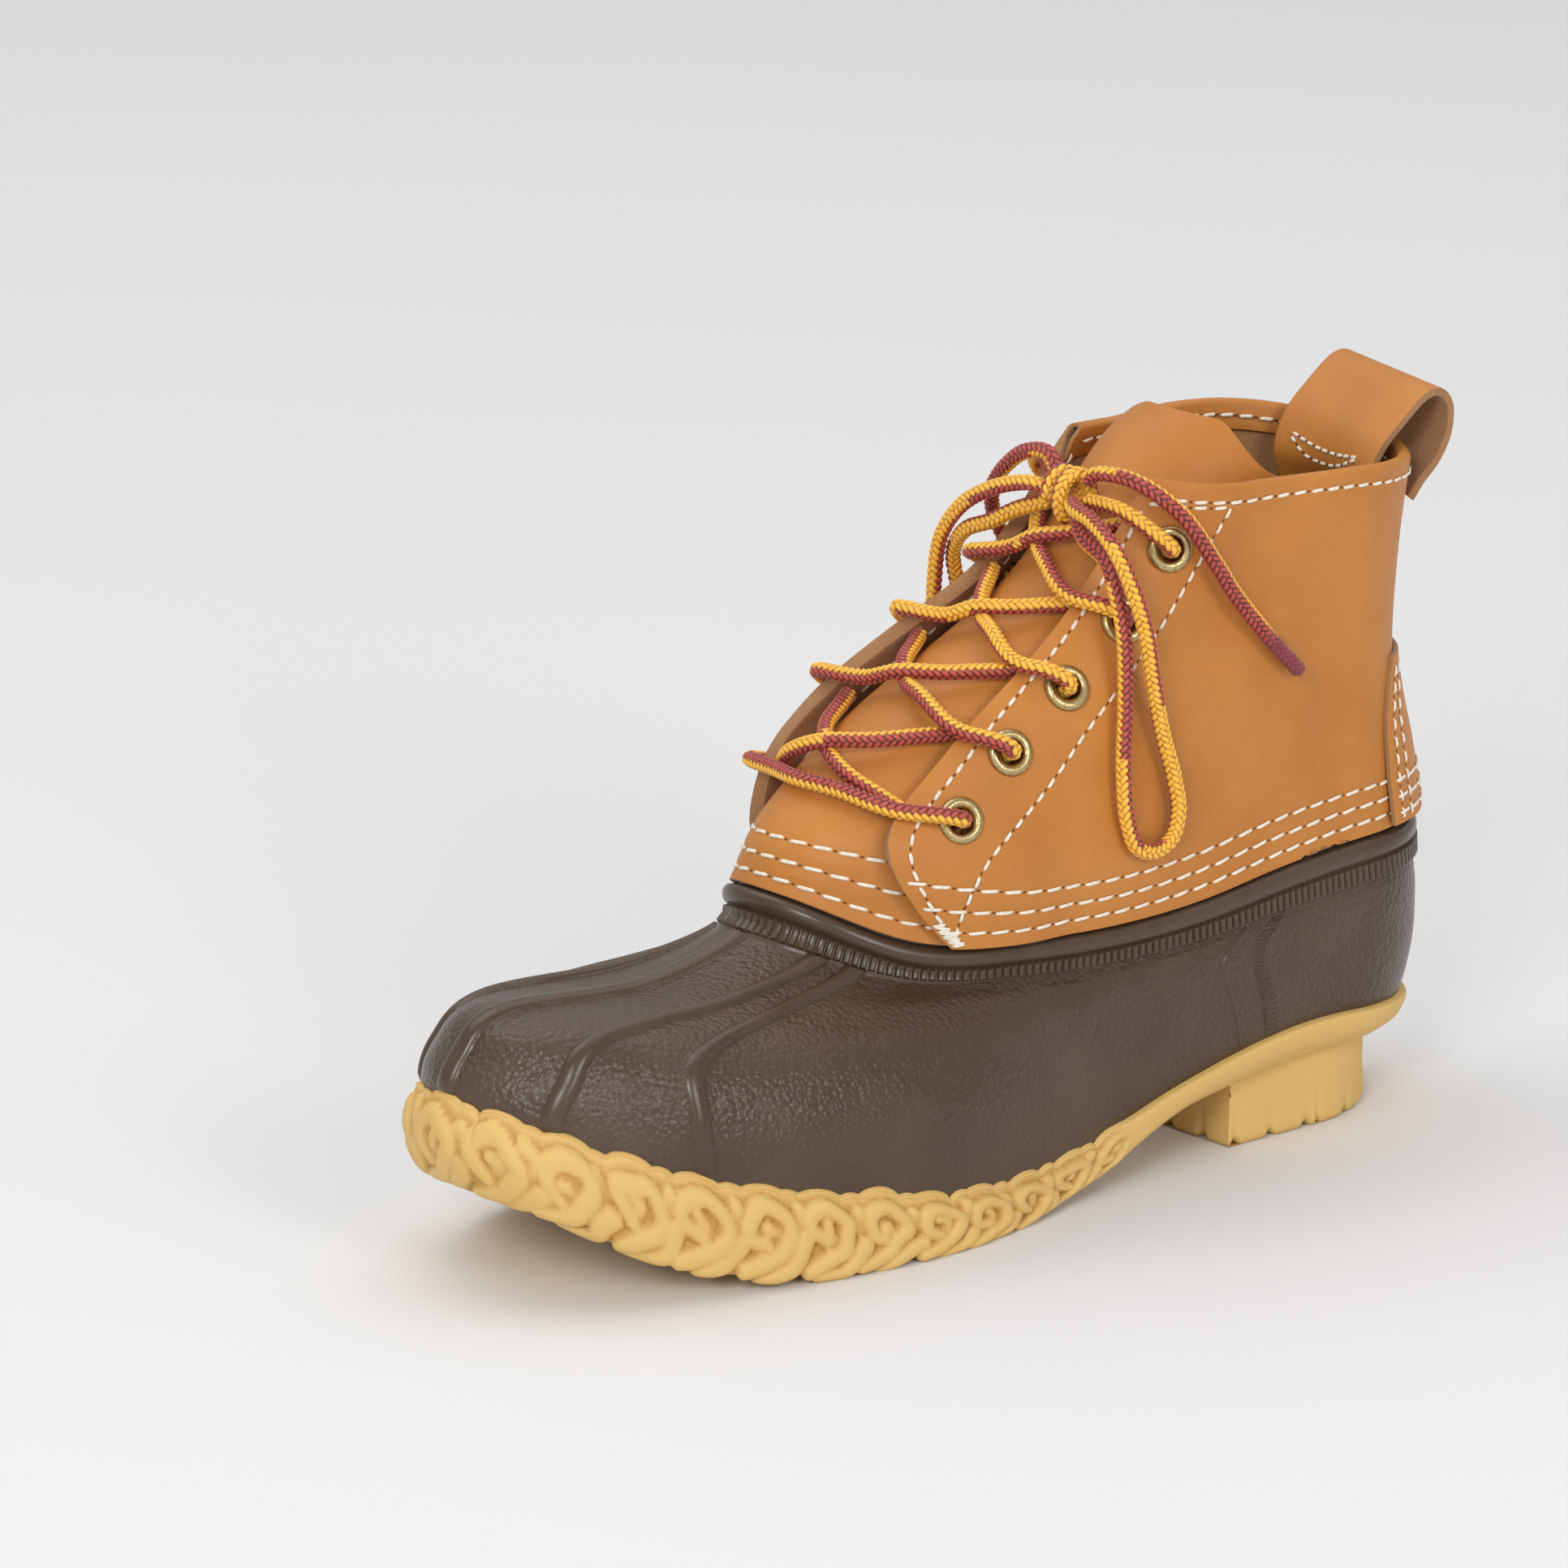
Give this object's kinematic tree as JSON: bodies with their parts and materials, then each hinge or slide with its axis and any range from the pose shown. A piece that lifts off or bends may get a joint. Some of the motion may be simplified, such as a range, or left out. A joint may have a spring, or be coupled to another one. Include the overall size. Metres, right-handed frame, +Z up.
{
  "type": "all-weather boot",
  "caption": "Left ankle boot with a dark ribbed rubber bottom, gum link-edged outsole with block heel, tan leather quarters, tied round lace and a rear pull loop.",
  "frame": {"origin": "middle of the boot's plan on the floor, under its bounding box without the bow", "axes": "+X from heel to toe, +Y to the outer side of the left foot, +Z up"},
  "size_m": [0.3114, 0.1054, 0.1894],
  "materials": {
    "gum_rubber": "matt moulded gum rubber",
    "dark_rubber": "satin pebbled rubber",
    "tan_leather": "smooth oiled leather",
    "footbed": "plain felted footbed",
    "eyelet_brass": "antique brass",
    "lace": "round two-colour braid"
  },
  "bodies": {
    "root": {"outsole": "gum_rubber", "rubber_bottom": "dark_rubber", "quarters": "tan_leather", "tongue": "tan_leather", "back_stay": "tan_leather", "pull_loop": "tan_leather", "insole": "footbed", "eyelet_out_1": "eyelet_brass", "eyelet_out_2": "eyelet_brass", "eyelet_out_3": "eyelet_brass", "eyelet_out_4": "eyelet_brass", "eyelet_out_5": "eyelet_brass", "eyelet_in_1": "eyelet_brass", "eyelet_in_2": "eyelet_brass", "eyelet_in_3": "eyelet_brass", "eyelet_in_4": "eyelet_brass", "eyelet_in_5": "eyelet_brass", "lace_bar": "lace", "lace_cross_1": "lace", "lace_cross_2": "lace", "lace_cross_3": "lace", "lace_cross_4": "lace", "lace_tie_out": "lace", "lace_tie_in": "lace", "lace_knot": "lace", "lace_loop_out": "lace", "lace_loop_in": "lace", "lace_end_out": "lace", "lace_end_in": "lace"}
  },
  "joints": []
}
